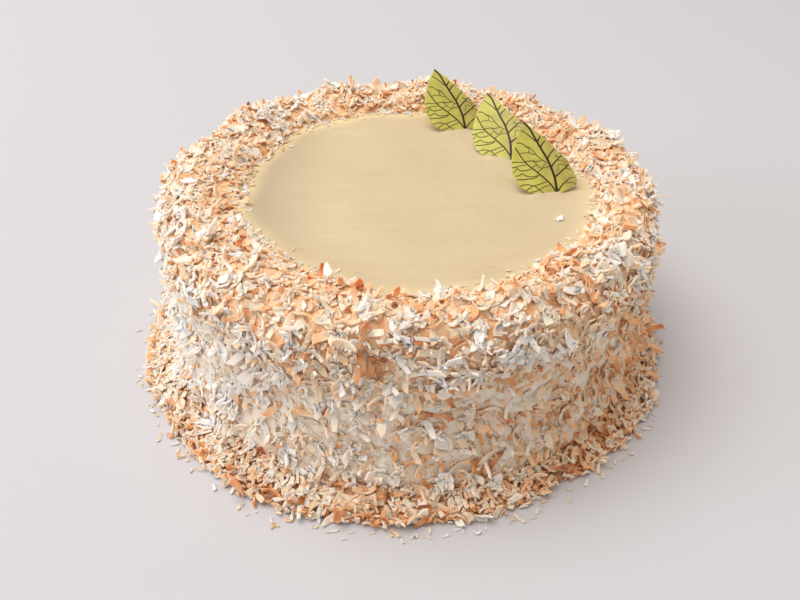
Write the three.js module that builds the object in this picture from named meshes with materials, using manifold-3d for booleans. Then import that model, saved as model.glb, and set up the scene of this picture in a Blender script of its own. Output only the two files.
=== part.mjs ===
// Coconut cake: a round cake spread with cream, coated with toasted coconut shavings over
// its wall and rim, with a bank of them round its foot, and with three chocolate leaves
// standing in the cream on top.
// Millimetres, +Z up. The origin is the middle of the base, at the level the cake stands on,
// and -Y is the front.

import * as THREE from 'three';
import { mergeVertices } from 'three/addons/utils/BufferGeometryUtils.js';
import Module from 'manifold-3d';

// Driving dimensions

const CAKE_RADIUS = 115;
const CAKE_HEIGHT = 85;
const SHOULDER_ROUND = 19;
const GAP = 0.3;

const COAT_INNER_RADIUS = 86;
const COAT_CREST_RADIUS = 105;
const COAT_CREST_HEIGHT = 93;
const COAT_WALL_RADIUS = 121;
const COAT_FOOT_RADIUS = 125.5;
const COAT_FLARE_HEIGHT = 34;
const COAT_SHOULDER_DROP = 22;
const BANK_RADIUS = 140;
const BANK_HEIGHT = 9;
const BANK_LIP = 2;
const BANK_HOLLOW = 1.3;

const LEAF_LENGTH = 36.3;
const LEAF_THICKNESS = 1.4;
const LEAF_LEFT = { width: 15.5, widestAt: 13.5, upperPower: 2, lowerReach: 13.4, lowerPower: 2 };
const LEAF_RIGHT = { width: 12.8, widestAt: 6.5, upperPower: 1.35, lowerReach: 8, lowerPower: 6 };
const LEAF_TAB = { top: -1.5, left: -7, right: -3 };
const LEAF_TIP_WIDTH = 0.6;
const LEAF_CURVE = 0.0055;

// Where the foot of each leaf's midrib is, with its rise above the cream, and how the leaf
// stands in degrees: turned about the vertical, leaning back from it, and tipped sideways in
// its own plane.
const LEAVES = [
  { name: 'leaf_left', x: 32.2, y: 59.3, rise: 0.6, turn: 17.5, lean: 44.1, tip: 15.2 },
  { name: 'leaf_middle', x: 53.7, y: 24.5, rise: 2.3, turn: -24.2, lean: 42.1, tip: 35.1 },
  { name: 'leaf_right', x: 72, y: -8.6, rise: 0.8, turn: 12.2, lean: 42.3, tip: 16.9 },
];

// How finely the round pieces are divided

const ROUND_STEPS = 84;
const SHOULDER_STEPS = 6;
const INNER_SLOPE_STEPS = 4;
const COAT_SHOULDER_STEPS = 7;
const COAT_WALL_STEPS = 7;
const BANK_STEPS = 5;
const LEAF_STEPS_ACROSS = 6;
const LEAF_ROWS = [-7, -1.8, -1.3, -0.4, 1, 3, 5.5, 8.5, 12, 16, 20, 24, 28, 32, LEAF_LENGTH];

// The waves that make the coat as uneven as a hand-pressed one. Each is a height in mm, a
// number of waves round the cake, a number of waves down the coat, and where it starts.
const COAT_WAVES = [
  { height: 1.2, around: 2, down: 0, start: 1.9 },
  { height: 0.6, around: 5, down: 1, start: 0.4 },
  { height: 0.6, around: 6, down: -1, start: 1.4 },
  { height: 0.7, around: 12, down: 2, start: 2.2 },
  { height: 0.7, around: 12, down: -2, start: 4.1 },
  { height: 0.5, around: 25, down: 4, start: 5.3 },
  { height: 0.5, around: 25, down: -4, start: 0.9 },
];
const CREAM_EDGE_WAVES = [
  { height: 5.0, around: 1, down: 0, start: 1.9 },
  { height: 1.6, around: 5, down: 0, start: 2.9 },
  { height: 1.3, around: 11, down: 0, start: 0.8 },
];
const BANK_WAVES = [
  { height: 3.6, around: 1, down: 0, start: 4.1 },
  { height: 1.2, around: 4, down: 0, start: 3.6 },
  { height: 1.1, around: 9, down: 0, start: 1.3 },
  { height: 0.9, around: 17, down: 0, start: 4.4 },
];

const MATERIALS = {
  cream: new THREE.MeshStandardMaterial({ color: 0xe9d3a6, roughness: 0.55, metalness: 0 }),
  coconut: new THREE.MeshStandardMaterial({ color: 0xf0dcc0, roughness: 0.85, metalness: 0 }),
  chocolate: new THREE.MeshStandardMaterial({ color: 0xb7bb4e, roughness: 0.35, metalness: 0 }),
};

// Shared helpers

function point(radius, height) {
  return new THREE.Vector2(radius, height);
}

function smoothStep(from, to, value) {
  return THREE.MathUtils.smoothstep(value, from, to);
}

function waveSum(waves, angle, down) {
  const heights = waves.map((wave) => {
    const turn = wave.around * angle + wave.down * 2 * Math.PI * down;
    return wave.height * Math.sin(turn + wave.start);
  });
  return heights.reduce((sum, height) => sum + height, 0);
}

// One closed body whose neighbouring faces share their corners.
function closedBody(geometry) {
  const bare = geometry.clone();
  bare.deleteAttribute('normal');
  bare.deleteAttribute('uv');
  return mergeVertices(bare, 1e-3);
}

// A closed outline of radii and heights, turned round the Z axis.
function turned(outline) {
  return closedBody(new THREE.LatheGeometry(outline, ROUND_STEPS).rotateX(Math.PI / 2));
}

// The cake under the coat, spread flat on top, with a rounded shoulder.

// The shoulder's quarter circle, from the flat top out and down to the wall, grown by an
// even amount all over.
function shoulderArc(grow) {
  const round = SHOULDER_ROUND + grow;
  const middle = point(CAKE_RADIUS - SHOULDER_ROUND, CAKE_HEIGHT - SHOULDER_ROUND);
  return Array.from({ length: SHOULDER_STEPS + 1 }, (_, step) => {
    const angle = (Math.PI / 2) * (step / SHOULDER_STEPS);
    return point(middle.x + round * Math.sin(angle), middle.y + round * Math.cos(angle));
  });
}

function cakeBlank() {
  const outline = [point(0, CAKE_HEIGHT), ...shoulderArc(0), point(CAKE_RADIUS, 0), point(0, 0)];
  return turned(outline.reverse());
}

// The coat of shavings: a ring over the wall and the shoulder.

// The wall leans out a little towards its foot, where the shavings have slipped down.
function wallRadius(height) {
  const flare = 1 - smoothStep(BANK_HEIGHT, COAT_FLARE_HEIGHT, height);
  return THREE.MathUtils.lerp(COAT_WALL_RADIUS, COAT_FOOT_RADIUS, flare);
}

// The coat's outside, from the cream's edge over the crest and down the wall to the table.
function coatOutside() {
  const slope = Array.from({ length: INNER_SLOPE_STEPS }, (_, step) => {
    const part = step / INNER_SLOPE_STEPS;
    const rise = COAT_CREST_HEIGHT - CAKE_HEIGHT - GAP;
    return point(
      THREE.MathUtils.lerp(COAT_INNER_RADIUS, COAT_CREST_RADIUS, part),
      CAKE_HEIGHT + GAP + rise * Math.sin((part * Math.PI) / 2),
    );
  });
  const shoulder = Array.from({ length: COAT_SHOULDER_STEPS }, (_, step) => {
    const angle = (Math.PI / 2) * (step / COAT_SHOULDER_STEPS);
    return point(
      COAT_CREST_RADIUS + (COAT_WALL_RADIUS - COAT_CREST_RADIUS) * Math.sin(angle),
      COAT_CREST_HEIGHT - COAT_SHOULDER_DROP * (1 - Math.cos(angle)),
    );
  });
  const wallTop = COAT_CREST_HEIGHT - COAT_SHOULDER_DROP;
  const wall = Array.from({ length: COAT_WALL_STEPS + 1 }, (_, step) => {
    const height = THREE.MathUtils.lerp(wallTop, BANK_HEIGHT, step / COAT_WALL_STEPS);
    return point(wallRadius(height), height);
  });
  return [...slope, ...shoulder, ...wall, point(COAT_FOOT_RADIUS, 0)];
}

function coatInside() {
  return [point(CAKE_RADIUS + GAP, 0), ...shoulderArc(GAP).reverse()];
}

// The bank of shavings that lie against the foot of the coat, all round.

function bankOutside() {
  return Array.from({ length: BANK_STEPS + 1 }, (_, step) => {
    const part = step / BANK_STEPS;
    return point(
      THREE.MathUtils.lerp(COAT_FOOT_RADIUS + GAP, BANK_RADIUS, part),
      BANK_LIP + (BANK_HEIGHT - BANK_LIP) * (1 - part) ** BANK_HOLLOW,
    );
  });
}

function bankInside() {
  return [point(BANK_RADIUS, 0), point(COAT_FOOT_RADIUS + GAP, 0)];
}

// Moves a corner of a smooth ring to where the uneven coat or bank has it. The inside, the
// foot and the edge on the cream keep their height, so that the coat fits the cake and the
// table, and the wall behind the bank stays round, so that the bank fits the coat.
function makeUneven(corner) {
  const radius = Math.hypot(corner.x, corner.y);
  const angle = Math.atan2(corner.y, corner.x);
  const inside = radius < CAKE_RADIUS + 2 * GAP && corner.z < CAKE_HEIGHT + 2 * GAP;
  const onCreamEdge = radius < COAT_INNER_RADIUS + GAP;
  let moved = radius;
  if (onCreamEdge || !inside) {
    const rim = 1 - smoothStep(COAT_INNER_RADIUS, COAT_CREST_RADIUS, radius);
    const bank = smoothStep(COAT_FOOT_RADIUS + GAP, BANK_RADIUS, radius);
    const aboveBank = smoothStep(BANK_HEIGHT, 3 * BANK_HEIGHT, corner.z);
    const onTop = smoothStep(CAKE_HEIGHT, COAT_CREST_HEIGHT, corner.z);
    const lump = (1 - rim) * aboveBank * waveSum(COAT_WAVES, angle, corner.z / CAKE_HEIGHT);
    moved += rim * waveSum(CREAM_EDGE_WAVES, angle, 0);
    moved += bank * waveSum(BANK_WAVES, angle, 0);
    moved += (1 - onTop) * lump;
    corner.z += onTop * lump;
  }
  corner.x = moved * Math.cos(angle);
  corner.y = moved * Math.sin(angle);
  return corner;
}

// A ring whose cross-section runs along its outside and back along its inside.
function unevenRing(outside, inside) {
  const ring = turned([...outside, ...inside, outside[0]].reverse());
  const places = ring.attributes.position;
  const corner = new THREE.Vector3();
  for (let index = 0; index < places.count; index += 1) {
    makeUneven(corner.fromBufferAttribute(places, index));
    places.setXYZ(index, corner.x, corner.y, corner.z);
  }
  return ring;
}

// A chocolate leaf: a thin plate with a pointed tip and a rounded foot, bowed across its
// midrib, with a tab under its left lobe that goes down into the cream. It stands up along Z
// with its front towards -Y.

function halfWidth(side, height) {
  if (height > side.widestAt) {
    const part = (height - side.widestAt) / (LEAF_LENGTH - side.widestAt);
    return side.width * (1 - part ** side.upperPower) + LEAF_TIP_WIDTH * part;
  }
  const part = Math.min((side.widestAt - height) / side.lowerReach, 1);
  return side.width * (1 - part ** side.lowerPower) ** (1 / side.lowerPower);
}

// How far the plate reaches to both sides at a height. The tab starts inside the left lobe.
function leafEdges(height) {
  const left = -halfWidth(LEAF_LEFT, height);
  return {
    left: height < LEAF_LEFT.widestAt ? Math.min(left, LEAF_TAB.left) : left,
    right: height < LEAF_TAB.top ? LEAF_TAB.right : halfWidth(LEAF_RIGHT, height),
  };
}

function leafPlate(grow) {
  const steps = LEAF_ROWS.length - 1;
  const plate = closedBody(new THREE.BoxGeometry(2, 2, 2, LEAF_STEPS_ACROSS, 1, steps));
  const places = plate.attributes.position;
  for (let index = 0; index < places.count; index += 1) {
    const end = places.getZ(index);
    const height = LEAF_ROWS[Math.round(((end + 1) / 2) * steps)];
    const edges = leafEdges(height);
    const share = (places.getX(index) + 1) / 2;
    const x = THREE.MathUtils.lerp(edges.left - grow, edges.right + grow, share);
    const bow = LEAF_CURVE * x * x;
    places.setXYZ(
      index,
      x,
      bow + places.getY(index) * (LEAF_THICKNESS / 2 + grow),
      height + end * grow,
    );
  }
  return plate;
}

function standLeaf(mesh, leaf) {
  mesh.position.set(leaf.x, leaf.y, CAKE_HEIGHT + leaf.rise);
  mesh.rotation.set(
    THREE.MathUtils.degToRad(-leaf.lean),
    THREE.MathUtils.degToRad(-leaf.tip),
    THREE.MathUtils.degToRad(leaf.turn),
    'ZXY',
  );
  mesh.updateMatrixWorld();
}

// The cream closes round each leaf's tab, a hair's breadth away from it.

const wasm = await Module();
wasm.setup();

function toSolid(geometry) {
  return new wasm.Manifold(
    new wasm.Mesh({
      numProp: 3,
      vertProperties: new Float32Array(geometry.attributes.position.array),
      triVerts: new Uint32Array(geometry.index.array),
    }),
  );
}

function toGeometry(solid) {
  const mesh = solid.getMesh();
  const geometry = new THREE.BufferGeometry();
  geometry.setAttribute('position', new THREE.BufferAttribute(mesh.vertProperties, 3));
  geometry.setIndex(new THREE.BufferAttribute(mesh.triVerts, 1));
  geometry.computeVertexNormals();
  return geometry;
}

function cakeWithSlots(leafMeshes) {
  let cake = toSolid(cakeBlank());
  for (const leaf of leafMeshes) {
    const slot = leafPlate(GAP).applyMatrix4(leaf.matrixWorld);
    cake = cake.subtract(toSolid(slot));
  }
  return toGeometry(cake);
}

// The whole cake

function named(name, geometry, material) {
  const mesh = new THREE.Mesh(geometry, material);
  mesh.name = name;
  return mesh;
}

const leafMeshes = LEAVES.map((leaf) => {
  const mesh = named(leaf.name, leafPlate(0), MATERIALS.chocolate);
  standLeaf(mesh, leaf);
  return mesh;
});

const coconutCake = new THREE.Group();
coconutCake.add(named('cake', cakeWithSlots(leafMeshes), MATERIALS.cream));
coconutCake.add(named('coconut_coat', unevenRing(coatOutside(), coatInside()), MATERIALS.coconut));
coconutCake.add(named('coconut_bank', unevenRing(bankOutside(), bankInside()), MATERIALS.coconut));
coconutCake.add(...leafMeshes);

export default coconutCake;
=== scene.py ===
# A coconut cake: cream on top, a coat of toasted coconut shavings over the rim and the wall,
# a bank of them round the foot, and three chocolate leaves with a printed vein pattern.
# Metres, +Z up, with the front towards -Y.

import math

import bmesh
import bpy
import numpy as np
from mathutils import Matrix, Vector
from mathutils.bvhtree import BVHTree
from mathutils.kdtree import KDTree


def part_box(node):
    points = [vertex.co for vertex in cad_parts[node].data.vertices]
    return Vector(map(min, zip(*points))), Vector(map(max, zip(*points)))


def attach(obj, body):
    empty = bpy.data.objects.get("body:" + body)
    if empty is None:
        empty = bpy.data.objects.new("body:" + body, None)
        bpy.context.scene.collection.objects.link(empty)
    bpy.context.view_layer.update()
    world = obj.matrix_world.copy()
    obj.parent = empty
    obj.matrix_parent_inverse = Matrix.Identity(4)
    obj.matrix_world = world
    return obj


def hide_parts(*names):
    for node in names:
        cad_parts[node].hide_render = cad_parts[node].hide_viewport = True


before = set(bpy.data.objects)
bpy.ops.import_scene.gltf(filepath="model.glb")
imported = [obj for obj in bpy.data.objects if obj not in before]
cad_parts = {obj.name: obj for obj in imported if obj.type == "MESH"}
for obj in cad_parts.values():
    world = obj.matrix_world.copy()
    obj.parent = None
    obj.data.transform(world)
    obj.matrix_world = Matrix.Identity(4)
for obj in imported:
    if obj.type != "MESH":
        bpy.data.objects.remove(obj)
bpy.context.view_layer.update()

MM = 0.001
FULL_TURN = 2 * math.pi

# Sizes that come from the frame

CREAM_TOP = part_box("cake")[1].z
COAT_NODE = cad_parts["coconut_coat"]
BANK_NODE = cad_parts["coconut_bank"]

# Driving sizes

CAKE_WALL = 110 * MM
CAKE_SHOULDER = 17 * MM
COAT_EDGE = 86 * MM
CREST_RADIUS = 105 * MM
CREST_HEIGHT = 93 * MM
WALL_RADIUS = 121 * MM
SHOULDER_DROP = 22 * MM
BANK_INNER = 121 * MM

LEAF_LENGTH = 36.3 * MM
LEAF_THICK = 1.3 * MM
# How fast a leaf bows back away from its midrib: metres for each square metre across.
LEAF_BOW = 5.5
LEAF_TIP = 0.6 * MM
# Each side of a leaf: how wide, at what height it is widest, how far below that its foot
# reaches, and how full its outline is above and below.
LEAF_SIDES = {
    "left": {
        "width": 15.5 * MM,
        "widest_at": 13.5 * MM,
        "reach": 13.4 * MM,
        "upper": 2.0,
        "lower": 2.0,
    },
    "right": {
        "width": 12.8 * MM,
        "widest_at": 6.5 * MM,
        "reach": 8.0 * MM,
        "upper": 1.35,
        "lower": 6.0,
    },
}
LEAF_FOOT = -1.5 * MM
TAB_BOTTOM = -6.5 * MM
TAB_LEFT = -7 * MM
TAB_RIGHT = -3 * MM
# Where the foot of each leaf's midrib is, in mm, and how many degrees the leaf is turned,
# leant back and tipped.
LEAVES = {
    "leaf_left": {"foot": (32.2, 59.3, 85.6), "turn": 17.5, "lean": 44.1, "tip": 15.2},
    "leaf_middle": {"foot": (53.7, 24.5, 87.3), "turn": -24.2, "lean": 42.1, "tip": 35.1},
    "leaf_right": {"foot": (72.0, -8.6, 85.8), "turn": 12.2, "lean": 42.3, "tip": 16.9},
}

dice = np.random.default_rng(24)


# Modelling helpers


def pick_only(piece):
    bpy.ops.object.select_all(action="DESELECT")
    piece.select_set(True)
    bpy.context.view_layer.objects.active = piece


def new_piece(name, add, **sizes):
    """A primitive as a new piece, picked alone and open in edit mode with all of it selected."""
    bpy.ops.object.select_all(action="DESELECT")
    add(**sizes)
    piece = bpy.context.object
    piece.name = name
    piece.data.name = name
    bpy.ops.object.mode_set(mode="EDIT")
    bpy.ops.mesh.select_all(action="SELECT")
    return piece


def close_edit(piece):
    """Leaves edit mode with doubles merged and faces pointing outwards."""
    bpy.ops.mesh.select_all(action="SELECT")
    bpy.ops.mesh.remove_doubles(threshold=1e-6)
    bpy.ops.mesh.normals_make_consistent(inside=False)
    bpy.ops.object.mode_set(mode="OBJECT")
    piece.data.transform(piece.matrix_world)
    piece.matrix_world = Matrix.Identity(4)


def apply_modifier(piece, kind, **settings):
    modifier = piece.modifiers.new(kind.lower(), kind)
    for name, value in settings.items():
        setattr(modifier, name, value)
    pick_only(piece)
    bpy.ops.object.modifier_apply(modifier=modifier.name)


def corners_of(piece):
    """Where a piece's corners are, one row each."""
    places = np.empty(len(piece.data.vertices) * 3)
    piece.data.vertices.foreach_get("co", places)
    return places.reshape(-1, 3)


def mark_corners(piece, name, values):
    """Gives each corner a number that the piece's material reads by that name."""
    mark = piece.data.attributes.new(name, "FLOAT", "POINT")
    mark.data.foreach_set("value", values.astype(np.float32))


def move_corners(piece, places):
    piece.data.vertices.foreach_set("co", np.asarray(places, np.float32).ravel())
    piece.data.update()


def polar(places):
    """How far from the Z axis places are, and at which angle round it."""
    return np.hypot(places[:, 0], places[:, 1]), np.arctan2(places[:, 1], places[:, 0])


def in_order(faces):
    """The same faces, each from its lowest corner on, and sorted."""
    around = faces.argmin(1)[:, None] + np.arange(faces.shape[1])
    turned = np.take_along_axis(faces, around % faces.shape[1], 1)
    return turned[np.lexsort(turned.T[::-1])]


def smooth(piece, degrees=40):
    pick_only(piece)
    bpy.ops.object.shade_smooth_by_angle(angle=math.radians(degrees))


def finish_piece(piece, material, slot, *nodes):
    """Gives a piece its material, on the one body, in place of any nodes named. The slot is not
    used.
    """
    piece.data.materials.clear()
    piece.data.materials.append(material)
    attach(piece, "root")
    if nodes:
        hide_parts(*nodes)


def clouds(name, size):
    """Soft noise for relief, whose lumps are about that many metres across."""
    texture = bpy.data.textures.new(name, "CLOUDS")
    texture.noise_scale = size
    texture.noise_depth = 2
    return texture


def ease(low, high, value):
    """A soft rise from 0 at the low value to 1 at the high one."""
    part = np.clip((value - low) / (high - low), 0, 1)
    return part * part * (3 - 2 * part)


# Material helpers


class Wire:
    """A value that varies over a surface. Sums on it add Math nodes."""

    def __init__(self, finish, socket):
        self.finish = finish
        self.socket = socket

    def maths(self, operation, *values):
        return self.finish.node("ShaderNodeMath", {"operation": operation}, dict(enumerate(values)))

    def __add__(self, other):
        return self.maths("ADD", self, other)

    __radd__ = __add__

    def __mul__(self, other):
        return self.maths("MULTIPLY", self, other)

    __rmul__ = __mul__

    def __sub__(self, other):
        return self.maths("SUBTRACT", self, other)

    def __rsub__(self, other):
        return self.maths("SUBTRACT", other, self)

    def clamped(self):
        return self.finish.node("ShaderNodeClamp", {}, {0: self})


class Finish:
    """A material and the nodes that make it."""

    def __init__(self, name, constants):
        self.material = bpy.data.materials.new(name)
        self.material.use_nodes = True
        self.tree = self.material.node_tree
        self.shader = self.tree.nodes["Principled BSDF"]
        for socket, value in constants.items():
            self.shader.inputs[socket].default_value = value

    def node(self, kind, settings, inputs, output=0):
        """A node of that kind, with its settings made first and then its sockets filled."""
        made = self.tree.nodes.new(kind)
        for name, value in settings.items():
            if name == "stops":
                self.set_stops(made.color_ramp, value)
            else:
                setattr(made, name, value)
        for name, value in inputs.items():
            self.fill(made.inputs[name], value)
        return Wire(self, made.outputs[output])

    def set_stops(self, ramp, stops):
        for _ in range(len(stops) - len(ramp.elements)):
            ramp.elements.new(1.0)
        for element, (place, colour) in zip(ramp.elements, stops):
            element.position = place
            element.color = colour

    def fill(self, socket, value):
        if isinstance(value, Wire):
            self.tree.links.new(value.socket, socket)
        else:
            socket.default_value = value

    def feed(self, socket, value):
        self.fill(self.shader.inputs[socket], value)

    def place(self):
        return self.node("ShaderNodeTexCoord", {}, {}, "Object")

    def attribute(self, name):
        return self.node("ShaderNodeAttribute", {"attribute_name": name}, {}, "Fac")

    def noise(self, size, detail=2.0, roughness=0.5, stretch=(1, 1, 1)):
        """Soft noise between 0 and 1, whose patches are about that many metres across."""
        mapped = self.node("ShaderNodeMapping", {}, {"Vector": self.place(), "Scale": stretch})
        settings = {"Vector": mapped, "Scale": 1 / size, "Detail": detail, "Roughness": roughness}
        return self.node("ShaderNodeTexNoise", {}, settings)

    def ramp(self, value, stops):
        return self.node("ShaderNodeValToRGB", {"stops": stops}, {"Fac": value})

    def mix(self, share, first, second):
        """One colour over another, by that share, through a Mix node's colour sockets."""
        return self.node("ShaderNodeMix", {"data_type": "RGBA"}, {0: share, 6: first, 7: second}, 2)

    def bump(self, height, depth):
        """Feeds a relief that many metres deep to the shader's normal."""
        sockets = {"Height": height, "Distance": depth, "Strength": 1.0}
        self.feed("Normal", self.node("ShaderNodeBump", {}, sockets))


def srgb(red, green, blue):
    """A colour given as it looks on a screen, 0 to 255, for a node."""
    shares = [value / 255 for value in (red, green, blue)]
    linear = [s / 12.92 if s <= 0.04045 else ((s + 0.055) / 1.055) ** 2.4 for s in shares]
    return (*linear, 1.0)


# Camera


def make_camera():
    """The camera that sees the cake as the photograph does, from in front and above."""
    view = bpy.data.cameras.new("camera")
    view.sensor_width = 36
    view.lens = 33.75
    view.clip_start = 0.01
    view.clip_end = 20
    camera = bpy.data.objects.new("camera", view)
    camera.location = (-3.5 * MM, -324.1 * MM, 273.8 * MM)
    camera.rotation_euler = (math.radians(90 - 39.0), 0, 0)
    bpy.context.scene.collection.objects.link(camera)
    bpy.context.scene.camera = camera


# The CAD coat's uneven outside, and the edges of the coat and the bank


COAT_TREE = BVHTree.FromPolygons(
    [corner.co.copy() for corner in COAT_NODE.data.vertices],
    [tuple(face.vertices) for face in COAT_NODE.data.polygons],
)
LOOK_FROM = 30 * MM


def coat_outside(place, outwards):
    """The point of the CAD coat's outside that lies along a line through that place."""
    start = Vector(place) + Vector(outwards) * LOOK_FROM
    return COAT_TREE.ray_cast(start, -Vector(outwards))[0]


def edge_by_angle(node, nearest, farthest, highest):
    """The angles and radii, in order, of a CAD ring's corners inside those radii and below that."""
    places = corners_of(node)
    radii, angles = polar(places)
    picked = (radii > nearest) & (radii < farthest) & (places[:, 2] < highest)
    order = np.argsort(angles[picked])
    return angles[picked][order], radii[picked][order]


CREAM_EDGE = edge_by_angle(COAT_NODE, 0, COAT_EDGE + 9 * MM, CREAM_TOP + 0.5 * MM)
BANK_EDGE = edge_by_angle(BANK_NODE, WALL_RADIUS + 8 * MM, math.inf, 1 * MM)


def radius_at(edge, angle):
    """How far from the Z axis such an edge is at that angle."""
    return np.interp(angle, edge[0], edge[1], period=FULL_TURN)


# The cream


def leaf_matrix(stand):
    """Places a leaf that stands up along Z, with its front towards -Y, where it stands."""
    turn, lean, tip = (math.radians(stand[key]) for key in ("turn", "lean", "tip"))
    turned = Matrix.Rotation(turn, 4, "Z") @ Matrix.Rotation(-lean, 4, "X")
    return Matrix.Translation(Vector(stand["foot"]) * MM) @ turned @ Matrix.Rotation(-tip, 4, "Y")


# The two ends of the part of a leaf's outline that stands in the cream, in mm across and up.
LEAF_TOUCH = ((-10, 2.6), (0, -0.6))


def foot_line(stand):
    """The two ends, seen from above, of the line along which a leaf stands in the cream."""
    matrix = leaf_matrix(stand)
    ends = [matrix @ leaf_front(across * MM, up * MM) for across, up in LEAF_TOUCH]
    return [np.array(end.to_2d()) for end in ends]


SWELL_HEIGHT = 1.1 * MM
SWELL_REACH = 2.6 * MM
CREAM_WAVE = 0.35 * MM
CREAM_RING = 1.25 * MM
HALO_REACH = 18 * MM


def cream_height(x, y):
    """How high the cream lies above its level: slow waves, and swells at the leaves' feet."""
    height = CREAM_WAVE * np.sin(x / (31 * MM) + 0.7) * np.cos(y / (23 * MM) - 0.4)
    height += 0.4 * CREAM_WAVE * np.sin(x / (9 * MM) + y / (13 * MM))
    for stand in LEAVES.values():
        first, last = foot_line(stand)
        along = last - first
        part = ((x - first[0]) * along[0] + (y - first[1]) * along[1]) / (along @ along)
        part = np.clip(part, 0, 1)
        away = np.hypot(x - first[0] - part * along[0], y - first[1] - part * along[1])
        height += SWELL_HEIGHT * np.exp(-((away / SWELL_REACH) ** 2))
    return height


def make_cream():
    """The cream's body with its rounded shoulder, and rings of faces on top for the waves."""
    piece = new_piece(
        "cream_body",
        bpy.ops.mesh.primitive_cylinder_add,
        vertices=256,
        radius=CAKE_WALL,
        depth=CREAM_TOP,
        location=(0, 0, CREAM_TOP / 2),
    )
    body = bmesh.from_edit_mesh(piece.data)
    top = [face for face in body.faces if face.normal.z > 0.9]
    bpy.ops.mesh.select_all(action="DESELECT")
    for edge in top[0].edges:
        edge.select = True
    bpy.ops.mesh.bevel(offset=CAKE_SHOULDER, segments=8)
    body = bmesh.from_edit_mesh(piece.data)
    bpy.ops.mesh.select_all(action="DESELECT")
    for face in body.faces:
        face.select = face.normal.z > 0.99 and len(face.verts) > 8
    for _ in range(int((CAKE_WALL - CAKE_SHOULDER) / CREAM_RING) - 2):
        bpy.ops.mesh.inset(thickness=CREAM_RING)
    bpy.ops.mesh.poke()
    close_edit(piece)
    places = corners_of(piece)
    level = ease(CREAM_TOP - 2 * MM, CREAM_TOP, places[:, 2])
    places[:, 2] += level * cream_height(places[:, 0], places[:, 1])
    move_corners(piece, places)
    smooth(piece)
    radii, angles = polar(places)
    gap = radius_at(CREAM_EDGE, angles) - radii
    mark_corners(piece, "near_coat", np.clip(1 - gap / HALO_REACH, 0, 1))
    finish_piece(piece, cream_finish(), "cream", "cake")


def cream_finish():
    """Pale yellow cream, with painted shade greying it far left and painted light lightening it
    near the coat, with streaks and small marks.
    """
    finish = Finish(
        "cream",
        {
            "Subsurface Weight": 0.3,
            "Subsurface Radius": (1.0, 0.8, 0.5),
            "Subsurface Scale": 3 * MM,
            "Specular IOR Level": 0.35,
        },
    )
    near = finish.attribute("near_coat")
    patches = finish.noise(45 * MM, detail=3)
    streaks = finish.noise(14 * MM, detail=4, roughness=0.65, stretch=(0.35, 2.4, 1))
    fine = finish.noise(0.9 * MM, detail=3)
    shade = (patches * 0.55 + streaks * 0.45).clamped()
    colour = finish.ramp(
        shade,
        [
            (0.30, srgb(197, 179, 148)),
            (0.50, srgb(202, 185, 154)),
            (0.70, srgb(208, 192, 161)),
        ],
    )
    side = finish.node("ShaderNodeSeparateXYZ", {}, {"Vector": finish.place()}, "X")
    # Painted shade: the cream greys towards the far left.
    painted_shade_left = (side * (-1 / (26 * MM)) - 1.85 + patches * 0.5).clamped()
    colour = finish.mix(painted_shade_left * 0.75, colour, srgb(178, 163, 138))
    soft = {"interpolation_type": "SMOOTHSTEP"}
    # Painted light: lighter, yellower cream near the coat, strongest towards the back left.
    painted_light_near_coat = finish.node("ShaderNodeMapRange", soft, {0: near + 0.45 * patches, 1: 0.62, 2: 1.2})
    backwards = finish.node("ShaderNodeSeparateXYZ", {}, {"Vector": finish.place()}, "Y")
    leftwards = (backwards * (1 / (160 * MM)) - side * (1 / (200 * MM)) + 0.35).clamped()
    colour = finish.mix(painted_light_near_coat * (0.35 + 0.5 * leftwards), colour, srgb(238, 220, 170))
    marks = finish.noise(3 * MM, detail=2, stretch=(0.5, 1.6, 1))
    colour = finish.mix((marks * 9 - 6.0).clamped() * 0.35, colour, srgb(160, 132, 96))
    finish.feed("Base Color", colour)
    finish.feed("Roughness", 0.42 + 0.2 * streaks)
    finish.bump(streaks * 0.7 + fine * 0.3, 0.25 * MM)
    return finish.material


# The coat's core: cream and coconut pressed together, under the loose shavings


CORE_DEPTH = 1.8 * MM
# The core's hidden inside, as radius and height in mm, from the foot up.
CORE_INSIDE = [(109, 0), (109, 66), (98, 80), (82, 81)]


def coat_line():
    """The core's outside as rows: radius, height, how far outwards and upwards it faces, and
    how deep it lies under the CAD coat's outside."""
    rows = []
    for part in np.linspace(-0.12, 1, 20)[:-1]:
        shown = max(part, 0)
        radius = COAT_EDGE + (CREST_RADIUS - COAT_EDGE) * part
        height = CREAM_TOP + 8 * MM * math.sin(shown * math.pi / 2)
        rows.append((radius, height, 0, 1, (0.6 + 1.2 * shown) * MM))
    for angle in np.linspace(0, math.pi / 2, 17)[:-1]:
        radius = CREST_RADIUS + (WALL_RADIUS - CREST_RADIUS) * math.sin(angle)
        height = CREST_HEIGHT - SHOULDER_DROP * (1 - math.cos(angle))
        rows.append((radius, height, math.sin(angle), math.cos(angle), CORE_DEPTH))
    for height in np.linspace(CREST_HEIGHT - SHOULDER_DROP, 0, 38):
        rows.append((WALL_RADIUS, height, 1, 0, CORE_DEPTH))
    return rows


CORE_STEPS = 360
SAME_PLACE = 0.001 * MM


def renumber_ring(piece, steps):
    """Numbers the corners and faces round a ring in an order that is the same at every run."""
    places = corners_of(piece)
    radii, angles = polar(places)
    step = np.round(angles / FULL_TURN * steps) % steps
    order = np.lexsort((np.round(places[:, 2] / SAME_PLACE), np.round(radii / SAME_PLACE), step))
    rank = np.argsort(order)
    faces = rank[np.array([tuple(face.vertices) for face in piece.data.polygons])]
    piece.data.clear_geometry()
    piece.data.from_pydata(places[order].tolist(), [], in_order(faces).tolist())


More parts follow.
